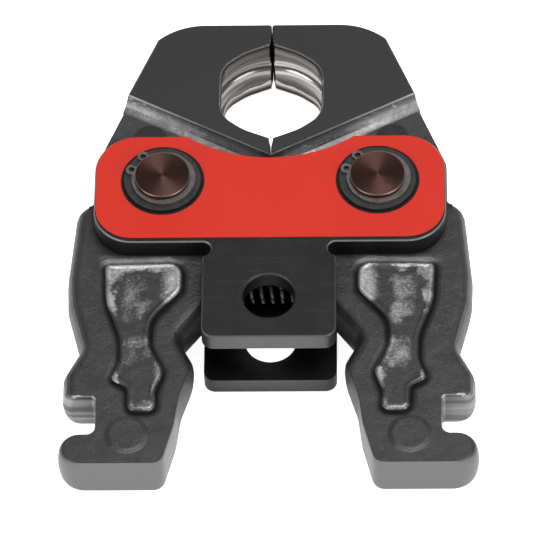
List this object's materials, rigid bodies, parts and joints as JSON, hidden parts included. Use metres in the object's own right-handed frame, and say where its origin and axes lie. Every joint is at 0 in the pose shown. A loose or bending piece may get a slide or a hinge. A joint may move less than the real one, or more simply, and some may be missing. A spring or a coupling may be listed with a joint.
{
  "type": "press fitting tool jaw",
  "caption": "Clamping jaw for a pipe-fitting press tool: forged levers swing on pins between T-shaped plates and close on a six-sided ribbed bore; sprung shut.",
  "frame": {"origin": "on the axis of the lock bore, half way between the two bearing plates", "axes": "+X to the right lever, +Y from the tail of the plates to the jaw heads, +Z out of the labelled front plate"},
  "size_m": [0.1154, 0.1479, 0.0346],
  "materials": {
    "forged_steel": "drop-forged steel, dark phosphate, worn bright on the high places; ground head faces; polished bore",
    "plate_steel": "blackened steel plate, satin",
    "red_label": "printed film, satin red, blank",
    "pin_steel": "turned end face, dark brown oxide, bright rim",
    "washer_steel": "blackened steel",
    "ring_steel": "oiled spring steel, warm grey",
    "spring_steel": "bright spring wire"
  },
  "bodies": {
    "bearing_frame": {"front_bearing_plate": "plate_steel", "rear_bearing_plate": "plate_steel", "front_label": "red_label", "left_pivot_pin": "pin_steel", "right_pivot_pin": "pin_steel", "front_left_washer": "washer_steel", "front_right_washer": "washer_steel", "rear_left_washer": "washer_steel", "rear_right_washer": "washer_steel", "front_left_retaining_ring": "ring_steel", "front_right_retaining_ring": "ring_steel", "rear_left_retaining_ring": "ring_steel", "rear_right_retaining_ring": "ring_steel", "return_spring": "spring_steel"},
    "left_lever": {"left_jaw_lever": "forged_steel"},
    "right_lever": {"right_jaw_lever": "forged_steel"}
  },
  "joints": [
    {"name": "left_lever_pivot", "type": "hinge", "parent": "bearing_frame", "child": "left_lever", "pos_m": [-0.0303, 0.0393, 0], "axis": [0, 0, 1], "range_deg": [0, 15], "stiffness_Nm_per_rad": 2, "springref_deg": -20.05, "deforming": ["return_spring"]},
    {"name": "right_lever_pivot", "type": "hinge", "parent": "bearing_frame", "child": "right_lever", "pos_m": [0.0303, 0.0393, 0], "axis": [0, 0, -1], "range_deg": [0, 15], "stiffness_Nm_per_rad": 2, "springref_deg": -20.05, "deforming": ["return_spring"]}
  ]
}
